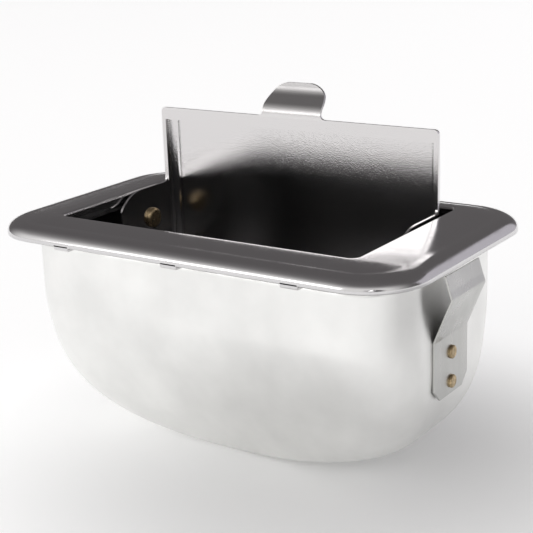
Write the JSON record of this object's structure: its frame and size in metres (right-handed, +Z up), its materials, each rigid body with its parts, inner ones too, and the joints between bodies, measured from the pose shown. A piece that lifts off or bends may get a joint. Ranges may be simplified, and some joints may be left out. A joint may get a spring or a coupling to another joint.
{
  "type": "trough feeder",
  "caption": "Drop-in sheet-metal trough with a chromed rectangular bezel, deep rounded pan, upright flip lid with finger tab, and snap-in spring clips on the ends.",
  "frame": {"origin": "centre of the panel cut-out, in the plane where the crimp tongues rest on the panel", "axes": "+X along the trough's length, +Z up out of the panel, the lid's finger tab reaches towards -Y when it is shut"},
  "size_m": [0.15, 0.093, 0.1111],
  "materials": {
    "bezel_chrome": "mirror",
    "lid_chrome": "mirror",
    "pan_steel": "satin",
    "clip_steel": "satin",
    "washer_steel": "satin",
    "rivet_brass": "satin"
  },
  "bodies": {
    "tray": {"bezel": "bezel_chrome", "pan": "pan_steel", "clip_foot_left": "clip_steel", "clip_rivet_left_upper": "rivet_brass", "clip_rivet_left_lower": "rivet_brass", "pivot_rivet_left": "rivet_brass", "pivot_washer_left": "washer_steel", "clip_foot_right": "clip_steel", "clip_rivet_right_upper": "rivet_brass", "clip_rivet_right_lower": "rivet_brass", "pivot_rivet_right": "rivet_brass", "pivot_washer_right": "washer_steel"},
    "lid": {"lid": "lid_chrome"},
    "clip_leaf_left": {"clip_leaf_left": "clip_steel"},
    "clip_leaf_right": {"clip_leaf_right": "clip_steel"}
  },
  "joints": [
    {"name": "lid_swing", "type": "hinge", "parent": "tray", "child": "lid", "pos_m": [0, 0.01165, -0.004], "axis": [1, 0, 0], "range_deg": [0, 90]},
    {"name": "clip_flex_left", "type": "hinge", "parent": "tray", "child": "clip_leaf_left", "pos_m": [-0.0691, -0.003, -0.0214], "axis": [0, 1, 0], "range_deg": [0, 8], "stiffness_Nm_per_rad": 0.9},
    {"name": "clip_flex_right", "type": "hinge", "parent": "tray", "child": "clip_leaf_right", "pos_m": [0.0691, -0.003, -0.0214], "axis": [0, -1, 0], "range_deg": [0, 8], "stiffness_Nm_per_rad": 0.9}
  ]
}
